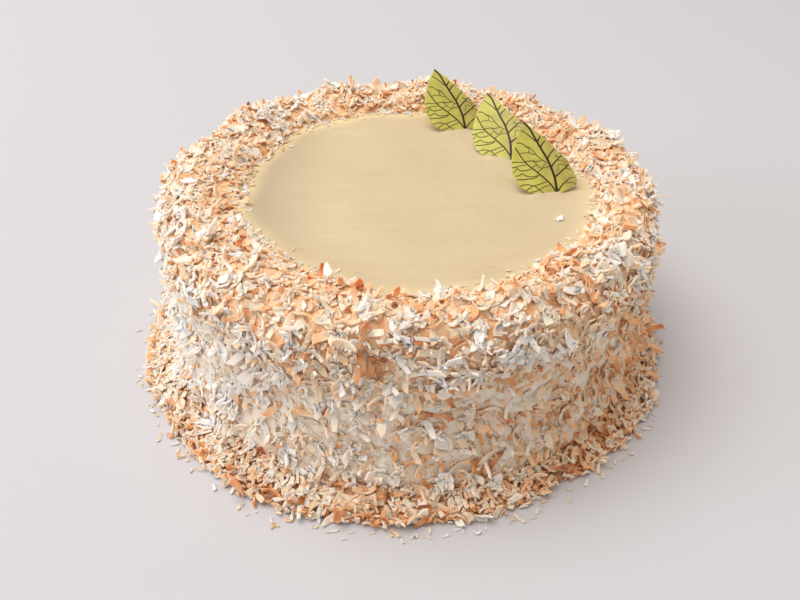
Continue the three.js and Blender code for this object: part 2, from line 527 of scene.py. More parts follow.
def spun_ring(name, outline, steps):
    """A ring turned round the Z axis from a closed outline of radii and heights."""
    piece = new_piece(name, bpy.ops.mesh.primitive_circle_add, vertices=len(outline), radius=1)
    shape = bmesh.from_edit_mesh(piece.data)
    shape.verts.ensure_lookup_table()
    for corner, (radius, height) in zip(shape.verts, outline):
        corner.co = (radius, 0, height)
    bmesh.update_edit_mesh(piece.data)
    bpy.ops.mesh.spin(steps=steps, angle=FULL_TURN, center=(0, 0, 0), axis=(0, 0, 1))
    close_edit(piece)
    renumber_ring(piece, steps)
    return piece


def make_coat_core():
    """A ring whose outside follows the CAD coat's, a little deeper, down to the cream's edge."""
    line = coat_line()
    inside = [(radius * MM, height * MM) for radius, height in CORE_INSIDE]
    piece = spun_ring("coat_core", [row[:2] for row in line] + inside, CORE_STEPS)
    places = corners_of(piece)
    radii, angles = polar(places)
    table = np.array([row[:2] for row in line])
    for index, (radius, angle, height) in enumerate(zip(radii, angles, places[:, 2])):
        away = np.hypot(table[:, 0] - radius, table[:, 1] - height)
        nearest = int(np.argmin(away))
        if away[nearest] > 0.01 * MM:
            continue
        depth = line[nearest][4]
        round_x, round_y = math.cos(angle), math.sin(angle)
        out_share, up_share = line[nearest][2:4]
        outwards = (out_share * round_x, out_share * round_y, up_share)
        if out_share == 0:
            edge = radius_at(CREAM_EDGE, angle)
            share = (radius - COAT_EDGE) / (CREST_RADIUS - COAT_EDGE)
            radius = edge + share * (CREST_RADIUS - edge)
            outwards = (0, 0, 1)
            if share < 0:
                places[index] = (radius * round_x, radius * round_y, CREAM_TOP - 1.5 * MM)
                continue
        place = (radius * round_x, radius * round_y, height)
        found = coat_outside(place, outwards)
        if found is not None:
            places[index] = np.array(found - Vector(outwards) * depth)
            if height < 1e-6:
                places[index][2] = 0
    move_corners(piece, places)
    return piece


BANK_MARGIN = 5 * MM
# The bank's slope, as how far out from the wall and how high, in mm, from the wall outwards.
BANK_SLOPE = [(0, 7.6), (3.5, 6.2), (6, 4.6), (8.5, 3.2), (11, 2.1), (13, 1.2), (15, 0)]


def make_bank_core():
    """A low ring round the wall, as wide at each angle as the CAD bank less a margin."""
    outline = [(BANK_INNER + out * MM, height * MM) for out, height in [*BANK_SLOPE, (0, 0)]]
    widest = BANK_SLOPE[-1][0] * MM
    piece = spun_ring("bank_core", outline, CORE_STEPS)
    places = corners_of(piece)
    radii, angles = polar(places)
    reach = radius_at(BANK_EDGE, angles) - BANK_MARGIN
    moved = BANK_INNER + (radii - BANK_INNER) / widest * (reach - BANK_INNER)
    places[:, 0] = moved * np.cos(angles)
    places[:, 1] = moved * np.sin(angles)
    move_corners(piece, places)
    return piece


def add_relief(piece, layers):
    """Pushes the piece's corners out and in by soft noise, and back onto the table."""
    for name, size, height in layers:
        apply_modifier(
            piece,
            "DISPLACE",
            texture=clouds(name, size),
            texture_coords="LOCAL",
            strength=height,
            mid_level=0.5,
        )
    places = corners_of(piece)
    places[:, 2] = np.maximum(places[:, 2], 0)
    move_corners(piece, places)


def core_finish():
    """Whitish cream on the wall, and warm orange painted shade on the rim and the foot, where the
    core shows deep between shavings.
    """
    finish = Finish(
        "cream_and_coconut",
        {
            "Subsurface Weight": 0.5,
            "Subsurface Radius": (1.0, 0.75, 0.5),
            "Subsurface Scale": 2.5 * MM,
            "Specular IOR Level": 0.35,
        },
    )
    lumps = finish.noise(6 * MM, detail=3)
    shreds = finish.noise(1.6 * MM, detail=3, roughness=0.6)
    mottle = (lumps * 0.5 + shreds * 0.5).clamped()
    # Painted shade: the tan low end of the white mottle darkens its hollows, and the warm orange
    # where the coat is deep stands in for shade between shavings.
    white = finish.ramp(mottle, [(0.32, srgb(234, 212, 184)), (0.58, srgb(250, 246, 238))])
    brown = finish.ramp(mottle, [(0.32, srgb(244, 178, 122)), (0.60, srgb(255, 216, 176))])
    finish.feed("Base Color", finish.mix(finish.attribute("deep"), white, brown))
    finish.feed("Roughness", 0.45 + 0.25 * shreds)
    finish.bump(shreds, 0.8 * MM)
    return finish.material


def mark_painted_gap_shade(piece):
    """Marks where the core gets warm painted shade, as it lies deep under shavings: on the rim and
    the foot.
    """
    mark_corners(piece, "deep", 1 - wall_share(corners_of(piece)) * 0.9)


# Coconut shavings


def bent(places, turn):
    """Bends corners that lie along X upwards, through that many degrees from end to end."""
    length = np.ptp(places[:, 0])
    round_ = length / math.radians(turn)
    angle = places[:, 0] / round_
    reach = round_ - places[:, 2]
    return np.stack([reach * np.sin(angle), places[:, 1], round_ - reach * np.cos(angle)], axis=1)


def twisted(places, turn):
    """Twists corners that lie along X, through that many degrees from end to end."""
    angle = math.radians(turn) * places[:, 0] / np.ptp(places[:, 0])
    y = places[:, 1] * np.cos(angle) - places[:, 2] * np.sin(angle)
    z = places[:, 1] * np.sin(angle) + places[:, 2] * np.cos(angle)
    return np.stack([places[:, 0], y, z], axis=1)


def slanted(places, slants):
    """Cuts the two ends of corners that lie along X aslant, by that much of their width."""
    share = np.clip(np.abs(places[:, 0]) / np.abs(places[:, 0]).max(), 0, 1)
    slant = np.where(places[:, 0] < 0, slants[0], slants[1])
    moved = places.copy()
    moved[:, 0] += share * slant * places[:, 1]
    return moved


def shaving(length, width, thick, columns, rows, ends, slants, curl, twist, ragged, seed):
    """The corners and faces of one shaving along X, whose ends have that share of its width."""
    grid = {"x_subdivisions": columns, "y_subdivisions": rows, "size": 1}
    piece = new_piece("shaving", bpy.ops.mesh.primitive_grid_add, **grid)
    bpy.ops.transform.resize(value=(length * MM, width * MM, 1))
    shape = bmesh.from_edit_mesh(piece.data)
    for end, share in zip((-1, 1), ends):
        for corner in shape.verts:
            corner.select = corner.co.x * end > (0.5 - 0.6 / columns) * length * MM
        shape.select_flush_mode()
        bpy.ops.transform.resize(value=(1, share, 1))
    bpy.ops.mesh.select_all(action="SELECT")
    bpy.ops.transform.vertex_random(offset=ragged * MM, seed=seed)
    bpy.ops.mesh.extrude_region_move(TRANSFORM_OT_translate={"value": (0, 0, thick * MM)})
    close_edit(piece)
    places = corners_of(piece)
    places -= (places.min(0) + places.max(0)) / 2
    places = bent(twisted(slanted(places, slants), twist), curl)
    places[:, 2] -= places[:, 2].mean()
    faces = np.array([tuple(face.vertices) for face in piece.data.polygons])
    bpy.data.objects.remove(piece)
    return places, in_order(faces)


def make_shapes():
    """The kinds of shaving, each a few shapes, with lengths and widths in mm."""
    return {
        "chips": [
            shaving(6.4, 3.3, 0.5, 5, 2, (0.6, 0.95), (0.5, -0.2), 62, 22, 0.62, 1),
            shaving(5.2, 3.0, 0.55, 4, 2, (0.95, 0.5), (-0.3, 0.6), 48, -24, 0.66, 2),
            shaving(7.6, 2.8, 0.5, 5, 2, (0.5, 0.8), (0.2, 0.5), 100, 28, 0.55, 3),
            shaving(4.6, 3.4, 0.55, 4, 2, (0.9, 0.65), (-0.5, -0.3), 55, -18, 0.68, 4),
            shaving(5.8, 2.5, 0.5, 5, 2, (0.7, 1.0), (0.6, 0.3), 42, 24, 0.58, 5),
        ],
        "strips": [
            shaving(7.5, 1.9, 0.55, 5, 1, (0.7, 1.0), (0.6, -0.4), 52, 34, 0.42, 6),
            shaving(8.8, 1.5, 0.5, 5, 1, (0.6, 0.9), (-0.7, 0.5), 90, -38, 0.38, 7),
            shaving(6.4, 2.2, 0.55, 5, 1, (1.0, 0.7), (0.3, 0.7), 44, 18, 0.48, 8),
            shaving(9.2, 1.7, 0.5, 5, 1, (0.5, 0.8), (0.5, 0.4), 140, 40, 0.38, 9),
            shaving(6.0, 1.4, 0.5, 5, 1, (0.9, 0.6), (-0.4, -0.6), 110, -30, 0.36, 10),
        ],
        "shreds": [
            shaving(4.6, 1.3, 0.5, 4, 1, (0.7, 1.0), (0.6, -0.3), 50, 28, 0.36, 11),
            shaving(3.8, 1.5, 0.55, 3, 1, (1.0, 0.6), (-0.4, 0.5), 60, -30, 0.4, 12),
            shaving(5.6, 1.1, 0.5, 4, 1, (0.6, 0.9), (0.5, 0.4), 90, 34, 0.32, 13),
            shaving(3.2, 1.8, 0.6, 3, 1, (0.9, 0.8), (0.2, -0.6), 40, -18, 0.45, 14),
        ],
        "crumbs": [
            shaving(2.3, 1.4, 0.8, 2, 1, (0.8, 1.0), (0.4, -0.3), 12, 12, 0.4, 15),
            shaving(1.8, 1.6, 0.9, 2, 1, (0.9, 0.7), (-0.3, 0.5), 12, -12, 0.45, 16),
            shaving(3.0, 1.2, 0.7, 2, 1, (0.7, 0.9), (0.5, 0.2), 24, 18, 0.38, 17),
        ],
    }


PILE_ROUNDS = 60
STEEPEST = 0.45
PRESSED = 0.75


class Ground:
    """The outside faces of the cores, which the shavings lie on."""

    def __init__(self, pieces):
        places, normals, corners, offset = [], [], [], 0
        for piece in pieces:
            mesh = piece.data
            mesh.calc_loop_triangles()
            own = corners_of(piece)
            own_normals = np.empty(len(mesh.vertices) * 3)
            mesh.vertices.foreach_get("normal", own_normals)
            triangles = np.empty(len(mesh.loop_triangles) * 3, int)
            mesh.loop_triangles.foreach_get("vertices", triangles)
            places.append(own)
            normals.append(own_normals.reshape(-1, 3))
            corners.append(triangles.reshape(-1, 3) + offset)
            offset += len(own)
        self.places = np.concatenate(places)
        self.normals = np.concatenate(normals)
        self.corners = np.concatenate(corners)
        first, second, third = (self.places[self.corners[:, k]] for k in range(3))
        self.middles = (first + second + third) / 3
        self.areas = np.linalg.norm(np.cross(second - first, third - first), axis=1) / 2
        self.facing = self.normals[self.corners].mean(1)
        self.piled = np.zeros(len(self.places))
        self.tree = KDTree(len(self.places))
        for index, place in enumerate(self.places):
            self.tree.insert(place, index)
        self.tree.balance()

    def pick(self, count, density):
        """Random places on the ground, and its normals there, as dense as density() says."""
        weights = self.areas * density(self.middles, self.facing)
        chosen = self.corners[dice.choice(len(weights), count, p=weights / weights.sum())]
        shares = dice.dirichlet((1, 1, 1), count)
        places = np.einsum("nk,nkc->nc", shares, self.places[chosen])
        normals = np.einsum("nk,nkc->nc", shares, self.normals[chosen])
        return places, normals / np.linalg.norm(normals, axis=1)[:, None]

    def pile_up(self, places, lengthwise, reaches, thick, highest):
        """Lays things one after the other on what lies there already.

        Gives the height at which each comes to lie, and the slope that it gets.
        """
        stations = np.array((-0.8, -0.4, 0.0, 0.4, 0.8))
        spots = places[:, None] + (lengthwise * reaches[:, None])[:, None] * stations[:, None]
        nearest = np.array([self.tree.find(spot)[1] for spot in spots.reshape(-1, 3)])
        nearest = nearest.reshape(len(places), len(stations))
        heights, slopes = np.empty(len(places)), np.empty(len(places))
        for some in np.array_split(dice.permutation(len(places)), PILE_ROUNDS):
            under = self.piled[nearest[some]]
            first, last = under[:, :2].max(1), under[:, 3:].max(1)
            slope = np.clip((last - first) / (1.2 * reaches[some]), -STEEPEST, STEEPEST)
            line = slope[:, None] * reaches[some][:, None] * stations
            highs = (under - line).max(1)
            lie = PRESSED * highs + (1 - PRESSED) * (under - line).mean(1)
            lie = np.minimum(lie, highest[some])
            heights[some], slopes[some] = lie, slope
            np.maximum.at(self.piled, nearest[some], lie[:, None] + line + thick)
        return heights, slopes

    def top_near(self, place, reach, pressed):
        """The nearest place on the ground, raised to just under the top of what is piled there."""
        _, near, _ = self.tree.find(place)
        beside = [corner for _, corner, _ in self.tree.find_range(self.places[near], reach)]
        return self.places[near] + self.normals[near] * (self.piled[beside].max() - pressed)


def on_coat(places, facing):
    """1 on the coat's shown outside, 0 on its hidden inside and under the cream."""
    radii, angles = polar(places)
    shown = radii > radius_at(CREAM_EDGE, angles) - 0.5 * MM
    outwards = (facing[:, 0] * places[:, 0] + facing[:, 1] * places[:, 1]) / radii
    return shown * ((outwards > 0.3) | (facing[:, 2] > 0.3))


def rim_share(places):
    """1 on the rim and 0 below it, with a soft change."""
    return ease(50 * MM, 82 * MM, places[:, 2])


def foot_share(places):
    """1 on the bank round the foot and 0 above it, with a soft change."""
    radii, _ = polar(places)
    return ease(121 * MM, 125 * MM, radii) * (1 - ease(6 * MM, 10 * MM, places[:, 2]))


def wall_share(places):
    """1 on the wall and 0 on the rim and the foot, with soft changes."""
    return (1 - rim_share(places)) * (1 - foot_share(places))


def covered(places):
    """0 in the patches of the wall where the cream shows bare, 1 elsewhere."""
    _, angles = polar(places)
    height = places[:, 2] / (16 * MM)
    waves = np.sin(9 * angles + 1.3 * height + 0.8) + np.sin(17 * angles - 1.7 * height + 2.1)
    waves += np.sin(5 * angles + 2.9 * height + 4.0)
    return 1 - 0.9 * wall_share(places) * ease(1.5, 2.3, waves)


def directions(normals, slopes, heading, roll):
    """Lengthwise, sideways and upwards directions of things that lie on a surface."""
    side = np.cross(normals, heading)
    angle = np.arctan(slopes)[:, None]
    raised = heading * np.cos(angle) + normals * np.sin(angle)
    up = np.cross(raised, side)
    roll = roll[:, None]
    rolled = side * np.cos(roll) + up * np.sin(roll)
    return raised, rolled, np.cross(raised, rolled)


def headings(normals):
    """Random directions along a surface."""
    level = np.cross(normals, dice.normal(0, 1, normals.shape))
    return level / np.linalg.norm(level, axis=1)[:, None]


def joined(name, shapes, which, frames, places, sizes, toast):
    """One mesh of many shavings: copies of the shapes, each sized, turned and placed.

    Its flat map holds how browned each shaving is, painted shade and light included, and how near
    its ends a corner lies.
    """
    all_places, all_faces, all_toast, all_along, offset = [], [], [], [], 0
    for kind, (corners, faces) in enumerate(shapes):
        mine = np.flatnonzero(which == kind)
        sized = corners[None] * sizes[mine][:, None, :]
        put = np.einsum("nvc,ndc->nvd", sized, frames[mine].transpose(0, 2, 1))
        put += places[mine][:, None, :]
        lift = np.maximum(0, 0.1 * MM - put[:, :, 2].min(1))
        put[:, :, 2] += lift[:, None]
        span = np.abs(corners[:, 0]) / np.abs(corners[:, 0]).max()
        across = corners[:, 1] / np.abs(corners[:, 1]).max()
        all_places.append(put.reshape(-1, 3))
        steps = offset + np.arange(len(mine)) * len(corners)
        all_faces.append((faces[None] + steps[:, None, None]).reshape(-1, 4))
        all_toast.append((toast[mine][:, None] + 0.004 * across[None]).ravel())
        all_along.append(np.tile(span, len(mine)))
        offset += len(mine) * len(corners)
    corners = np.concatenate(all_places)
    faces = np.concatenate(all_faces)
    mesh = bpy.data.meshes.new(name)
    mesh.vertices.add(len(corners))
    mesh.vertices.foreach_set("co", corners.astype(np.float32).ravel())
    mesh.loops.add(faces.size)
    mesh.loops.foreach_set("vertex_index", faces.astype(np.int32).ravel())
    mesh.polygons.add(len(faces))
    mesh.polygons.foreach_set("loop_start", np.arange(0, faces.size, 4, dtype=np.int32))
    mesh.update(calc_edges=True)
    mesh.validate()
    flat = mesh.uv_layers.new(name="OFBake")
    flat_places = np.stack([np.concatenate(all_toast), np.concatenate(all_along)], 1)[faces.ravel()]
    flat.data.foreach_set("uv", np.clip(flat_places, 0.01, 0.99).astype(np.float32).ravel())
    piece = bpy.data.objects.new(name, mesh)
    bpy.context.scene.collection.objects.link(piece)
    smooth(piece, 36)
    return piece


def coconut_finish():
    """White to brown along the first direction of the flat map, which carries browning with painted
    shade and light, and browner at the ends.
    """
    finish = Finish(
        "toasted_coconut",
        {
            "Subsurface Weight": 1.0,
            "Subsurface Radius": (1.0, 0.84, 0.70),
            "Subsurface Scale": 1.5 * MM,
            "Specular IOR Level": 0.3,
        },
    )
    flat = finish.node("ShaderNodeUVMap", {"uv_map": "OFBake"}, {})
    toast = finish.node("ShaderNodeSeparateXYZ", {}, {"Vector": flat}, "X")
    along = finish.node("ShaderNodeSeparateXYZ", {}, {"Vector": flat}, "Y")
    browned = (toast * (0.86 + along * along * 0.42)).clamped()
    colour = finish.ramp(
        browned,
        [
            (0.0, srgb(250, 243, 240)),
            (0.20, srgb(253, 234, 221)),
            (0.38, srgb(253, 220, 195)),
            (0.55, srgb(248, 199, 161)),
            (0.70, srgb(233, 174, 127)),
            (0.85, srgb(203, 140, 92)),
            (1.0, srgb(155, 99, 62)),
        ],
    )
    finish.feed("Base Color", colour)
    finish.feed("Roughness", 0.58 + 0.15 * toast)
    return finish.material


DRIFTED = 0.11


def drifts(places):
    """Uneven drifts a few centimetres across, from -1 to 1, in which shavings are alike."""
    x, y, z = places.T / (6 * MM)
    crossed = np.sin(x + 0.6 * z + 0.9) * np.sin(0.8 * y - z + 2.0)
    return (crossed + np.sin(1.7 * z + 0.5 * x - 0.7 * y)) / 2


def toast_and_painted_light(places, middle, spread):
    """How browned the shavings are: most on the foot and the right, least on the left flank. Part
    of this is toasting, and part is painted light: browner to the right and round the foot for warm
    reflected light and shade, and whiter on the left flank where the light falls.
    """
    _, angles = polar(places)
    # Painted light and shade by side: the cosine terms brown the right and whiten the left flank,
    # and the foot's extra browning is partly painted warm reflected light.
    wall = wall_share(places) * (0.01 + 0.22 * np.cos(angles))
    rim = rim_share(places) * (0.055 + 0.02 * np.cos(angles - 0.8))
    foot = foot_share(places) * (0.33 + 0.10 * np.cos(angles + 1.0))
    level = middle + rim + foot + wall + DRIFTED * drifts(places)
    return np.clip(level + dice.normal(0, spread, len(places)), 0.02, 0.98)


def everywhere(places, facing):
    """How dense the shavings are that lie all over the coat and the bank."""
    crowd = 0.8 + 0.5 * rim_share(places) + 0.2 * foot_share(places)
    return on_coat(places, facing) * crowd * covered(places)


def mostly_foot(places, facing):
    """How dense the shavings are that have mostly fallen round the foot."""
    return on_coat(places, facing) * (0.12 + 0.15 * rim_share(places) + 3.0 * foot_share(places))


# The pieces of shavings: kind, how many, where, how browned, and the spread of that.
HEAPS = {
    "shavings_chips": ("chips", 2500, everywhere, 0.27, 0.10),
    "shavings_strips": ("strips", 3900, everywhere, 0.27, 0.10),
    "shavings_shreds": ("shreds", 3200, everywhere, 0.30, 0.11),
    "toasted_chips": ("chips", 220, everywhere, 0.60, 0.14),
    "toasted_strips": ("strips", 650, everywhere, 0.64, 0.14),
    "foot_shreds": ("shreds", 3000, mostly_foot, 0.30, 0.13),
    "rim_crumbs": ("crumbs", 1300, everywhere, 0.32, 0.13),
    "foot_crumbs": ("crumbs", 1600, mostly_foot, 0.34, 0.14),
}
STANDING = 0.08
HIGHEST = 3.2 * MM
SHAVING_THICK = 0.4 * MM
# How much painted shade and light the pile's depth gives: low shavings browner, top ones whiter.
PAINTED_DEPTH_SHADE = 0.50


def make_shavings(ground, shapes, finish):
    """Draws all the shavings, piles them up in a mixed order, and joins each kind."""
    drawn = []
    for name, (kind, count, where, middle, spread) in HEAPS.items():
        places, normals = ground.pick(count, where)
        lengths = np.array([np.ptp(corners[:, 0]) for corners, _ in shapes[kind]])
        which = dice.integers(0, len(lengths), count)
        sizes = dice.uniform(0.85, 1.3, (count, 3))
        sizes *= 0.88 + 0.7 * dice.uniform(0, 1, (count, 1)) ** 2
        reaches = lengths[which] * sizes[:, 0] / 2
        browned = toast_and_painted_light(places, middle, spread)
        drawn.append((name, shapes[kind], which, sizes, reaches, browned, places, normals))
    places, normals = (np.concatenate([heap[k] for heap in drawn]) for k in (6, 7))
    reaches = np.concatenate([heap[4] for heap in drawn])
    heading = headings(normals)
    hanging = wall_share(places)
    heading[(heading[:, 2] > 0) & (hanging > 0.5)] *= -1
    _, angles = polar(places)
    heading[:, 2] -= 1.5 * hanging * ease(0.2, 0.9, np.cos(angles))
    heading /= np.linalg.norm(heading, axis=1)[:, None]
    highest = HIGHEST * (1 - 0.3 * hanging)
    lie, slopes = ground.pile_up(places, heading, reaches, SHAVING_THICK, highest)
    depth = lie / HIGHEST
    lifted = hanging * dice.uniform(0, 0.55, len(places)) ** 1.5
    slopes += lifted + dice.normal(0, 0.15, len(places))
    standing = dice.uniform(0, 1, len(places)) < STANDING * (1 - 0.3 * hanging)
    slopes[standing] += dice.uniform(0.4, 1.1, standing.sum())
    lie += 0.5 * reaches * np.where(standing, np.sin(np.arctan(slopes)), lifted)
    sunk = 0.6 * MM * hanging * dice.uniform(0, 1, len(places))
    places = places + normals * (lie + 0.15 * MM - sunk)[:, None]
    roll = dice.normal(0, math.radians(20), len(places))
    frames = np.stack(directions(normals, slopes, heading, roll), axis=1)
    start = 0
    for name, shapes_here, which, sizes, _, browned, _, _ in drawn:
        own = slice(start, start + len(which))
        # Painted shade and light: shavings lying low in the pile are browned as if in warm shade,
        # and those on top are whitened as if lit.
        browned = np.clip(browned + PAINTED_DEPTH_SHADE * (0.35 - depth[own]), 0.05, 0.98)
        piece = joined(name, shapes_here, which, frames[own], places[own], sizes, browned)
        finish_piece(piece, finish, "coconut")
        start += len(which)


def table_level(x, _):
    """How high the table is there."""
    return np.zeros_like(x)


def cream_level(x, y):
    """How high the cream is there."""
    return CREAM_TOP + cream_height(x, y)


def level_frames(angles, slopes):
    """Directions of things that lie on a level surface and head along those angles."""
    count = len(angles)
    up = np.tile((0.0, 0.0, 1.0), (count, 1))
    heading = np.stack([np.cos(angles), np.sin(angles), np.zeros(count)], axis=1)
    roll = dice.normal(0, math.radians(12), count)
    return np.stack(directions(up, slopes, heading, roll), axis=1)


# The pieces of bits that lie apart: kind, size, how many, beyond which edge, how far (less
# than 0 is inwards), on what, and how browned.
STRAYS = {
    "bits_on_table": ("chips", 0.42, 130, BANK_EDGE, 2.8 * MM, table_level, 0.45),
    "shreds_on_table": ("shreds", 0.8, 60, BANK_EDGE, 1.6 * MM, table_level, 0.40),
    "bits_on_cream": ("chips", 0.42, 260, CREAM_EDGE, -2.6 * MM, cream_level, 0.34),
    "shreds_on_cream": ("shreds", 0.9, 150, CREAM_EDGE, -1.6 * MM, cream_level, 0.38),
}
STRAY_HEIGHT = 0.35 * MM


def make_strays(name, shapes, finish):
    """Bits that lie apart on a level surface, up to a few reaches beyond an edge."""
    kind, size, count, edge, reach, level, toast = STRAYS[name]
    angles = dice.uniform(-math.pi, math.pi, count)
    radii = radius_at(edge, angles) + reach * np.abs(dice.normal(0, 1, count))
    x, y = radii * np.cos(angles), radii * np.sin(angles)
    places = np.stack([x, y, level(x, y) + STRAY_HEIGHT], axis=1)
    frames = level_frames(dice.uniform(0, FULL_TURN, count), dice.normal(0, 0.12, count))
    sizes = size * dice.uniform(0.6, 1.3, (count, 1)) * dice.uniform(0.75, 1.25, (count, 3))
    which = dice.integers(0, len(shapes[kind]), count)
    browned = np.clip(dice.normal(toast, 0.16, count), 0.02, 0.98)
    piece = joined(name, shapes[kind], which, frames, places, sizes, browned)
    finish_piece(piece, finish, "coconut")


# Shavings that stand out one by one: kind and shape, the angle round the cake, radius and
# height in mm, how much it faces outwards, its heading (0 along the rim to the right, 90
# downwards) and lift in degrees, its size and how browned it is.
SINGLES = [
    ("strips", 2, -93.0, 97.5, 94.0, 0.0, 70, 62, 1.1, 0.72),
    ("strips", 1, -44.1, 92.7, 91.2, 0.0, 116, 24, 1.7, 0.80),
    ("strips", 0, -51.1, 99.7, 92.6, 0.0, 150, 12, 1.0, 0.82),
    ("chips", 1, -88.6, 118.5, 88.0, 0.7, 60, 12, 0.8, 0.97),
    ("chips", 1, -24.7, 77.0, 85.6, 0.0, 30, 8, 0.8, 0.18),
    ("chips", 3, 147.5, 73.0, 85.5, 0.0, 10, 6, 0.5, 0.12),
    ("chips", 2, 29.0, 104.0, 97.5, 0.2, 20, 15, 1.6, 0.03),
    ("strips", 2, 124.0, 110.0, 93.2, 0.2, 80, 65, 0.9, 0.60),
    ("strips", 0, 107.7, 107.0, 95.5, 0.1, 100, 60, 0.8, 0.66),
    ("strips", 0, -98.6, 123.2, 76.0, 1.0, 80, 10, 1.4, 0.84),
    ("strips", 2, -97.2, 123.6, 73.5, 1.0, 100, 14, 1.3, 0.76),
    ("strips", 4, -96.0, 123.4, 72.0, 1.0, 75, 8, 1.5, 0.90),
    ("strips", 2, -99.6, 123.0, 71.0, 1.0, 95, 12, 1.2, 0.68),
    # This chip's browning is partly painted shade.
    ("chips", 2, -102.0, 122.6, 83.0, 1.0, 8, 6, 1.5, 0.42),
    ("strips", 1, -83.2, 124.2, 58.0, 1.0, 50, 6, 1.35, 0.86),
    ("chips", 4, -77.5, 124.0, 64.0, 1.0, 60, 10, 0.9, 0.90),
    ("strips", 0, -73.0, 124.8, 39.0, 1.0, 52, 8, 2.0, 0.33),
    ("chips", 3, -82.5, 127.0, 14.0, 1.0, 10, 10, 1.4, 0.04),
    ("chips", 2, -73.0, 129.0, 10.0, 0.8, -35, 14, 1.3, 0.04),
    ("strips", 1, -124.5, 121.0, 84.0, 0.7, -35, 14, 1.5, 0.72),
    ("crumbs", 0, -148.5, 125.0, 64.0, 1.0, 90, 6, 1.7, 0.97),
    ("chips", 3, -129.5, 125.0, 59.0, 1.0, 30, 10, 1.9, 0.10),
]
# Shavings that face outwards by more than this are laid on the heap by what is piled there.
LAID_BY_HEAP = 0.15
SINGLE_REACH = 3.5 * MM
SINGLE_PRESSED = 0.3 * MM


def make_singles(ground, shapes, finish):
    """Lays the single shavings: on the heap where they face outwards, and as given elsewhere."""
    rows = np.array([row[2:] for row in SINGLES], float).T
    angle, radius, height, out, heading, lift, size, toast = rows
    angle, heading, lift = np.radians(angle), np.radians(heading), np.tan(np.radians(lift))
    level = np.zeros(len(angle))
    normals = np.stack([out * np.cos(angle), out * np.sin(angle), np.sqrt(1 - out**2)], axis=1)
    around = np.stack([-np.sin(angle), np.cos(angle), level], axis=1)
    ahead = np.cos(heading)[:, None] * around + np.sin(heading)[:, None] * np.cross(around, normals)
    frames = np.stack(directions(normals, lift, ahead, level), axis=1)
    places = np.stack([radius * np.cos(angle), radius * np.sin(angle), height], axis=1) * MM
    for index in np.flatnonzero(out > LAID_BY_HEAP):
        outside = ground.top_near(places[index], SINGLE_REACH, SINGLE_PRESSED)
        places[index] += normals[index] * np.dot(outside - places[index], normals[index])
    sizes = np.repeat(size[:, None], 3, axis=1)
    picked = [shapes[kind][number] for kind, number, *_ in SINGLES]
    which = np.arange(len(picked))
    piece = joined("single_shavings", picked, which, frames, places, sizes, toast)
    finish_piece(piece, finish, "coconut")


def make_cores():
    """The cores of the coat and the bank, roughened, as the two pieces that shavings lie on."""
    coat = make_coat_core()
    add_relief(coat, [("clumps", 10 * MM, 2.8 * MM), ("lumps", 4 * MM, 1.7 * MM)])
    bank = make_bank_core()
    add_relief(bank, [("heaps", 8 * MM, 2.2 * MM), ("bits", 3 * MM, 1.4 * MM)])
    finish = core_finish()
    for core, node in ((coat, "coconut_coat"), (bank, "coconut_bank")):
        smooth(core, 60)
        mark_painted_gap_shade(core)
        finish_piece(core, finish, "coconut", node)
    return [coat, bank]


def make_coconut():
    """All the coconut on and round the cake."""
    ground = Ground(make_cores())
    shapes = make_shapes()
    finish = coconut_finish()
    make_shavings(ground, shapes, finish)
    for name in STRAYS:
        make_strays(name, shapes, finish)
    make_singles(ground, shapes, finish)


# Leaves


def half_width(side, height):
    """How wide one side of the leaf is at a height: full, to a pointed tip and a round foot."""
    if height > side["widest_at"]:
        part = (height - side["widest_at"]) / (LEAF_LENGTH - side["widest_at"])
        return side["width"] * (1 - part ** side["upper"]) + LEAF_TIP * part
    part = min((side["widest_at"] - height) / side["reach"], 1)
    return side["width"] * (1 - part ** side["lower"]) ** (1 / side["lower"])


def leaf_edges(height):
    """How far the leaf reaches to its left and right at a height, with the tab under it."""
    left = -half_width(LEAF_SIDES["left"], height)
    right = half_width(LEAF_SIDES["right"], height)
    if height < LEAF_SIDES["left"]["widest_at"]:
        left = min(left, TAB_LEFT)
    return left, TAB_RIGHT if height < LEAF_FOOT else right


# The veins of the leaf's print, in mm across and up from the foot, with the width of each.
MAIN_VEINS = [
    (0.95, [(-0.1, -2), (1.4, 3.2), (2.4, 7.1), (2.8, 12.1), (2.8, 16.7),
            (2.2, 21), (1.6, 27), (1.1, 32.9), (-0.4, 36.8)]),
    (0.55, [(0, -0.5), (-1.3, 5.2), (-4.6, 12.1), (-7.2, 17), (-8.4, 20.5), (-9.5, 27.6)]),
    (0.6, [(2.2, 26.0), (3.2, 26.7), (4.4, 27.6)]),
    (0.5, [(2.6, 22.8), (3.8, 23.9), (6.0, 24.7)]),
    (0.5, [(2.9, 16.0), (5.5, 18.0), (8.8, 19.5)]),
    (0.55, [(2.9, 11.8), (6.5, 13.6), (10.6, 15.0)]),
    (0.6, [(2.6, 6.7), (7.0, 8.0), (12.2, 9.5)]),
    (0.5, [(0.2, -0.6), (4.6, 1.9), (9.8, 3.3)]),
    (0.35, [(2.2, 24.2), (-0.9, 30.3), (-3.3, 34.1)]),
]
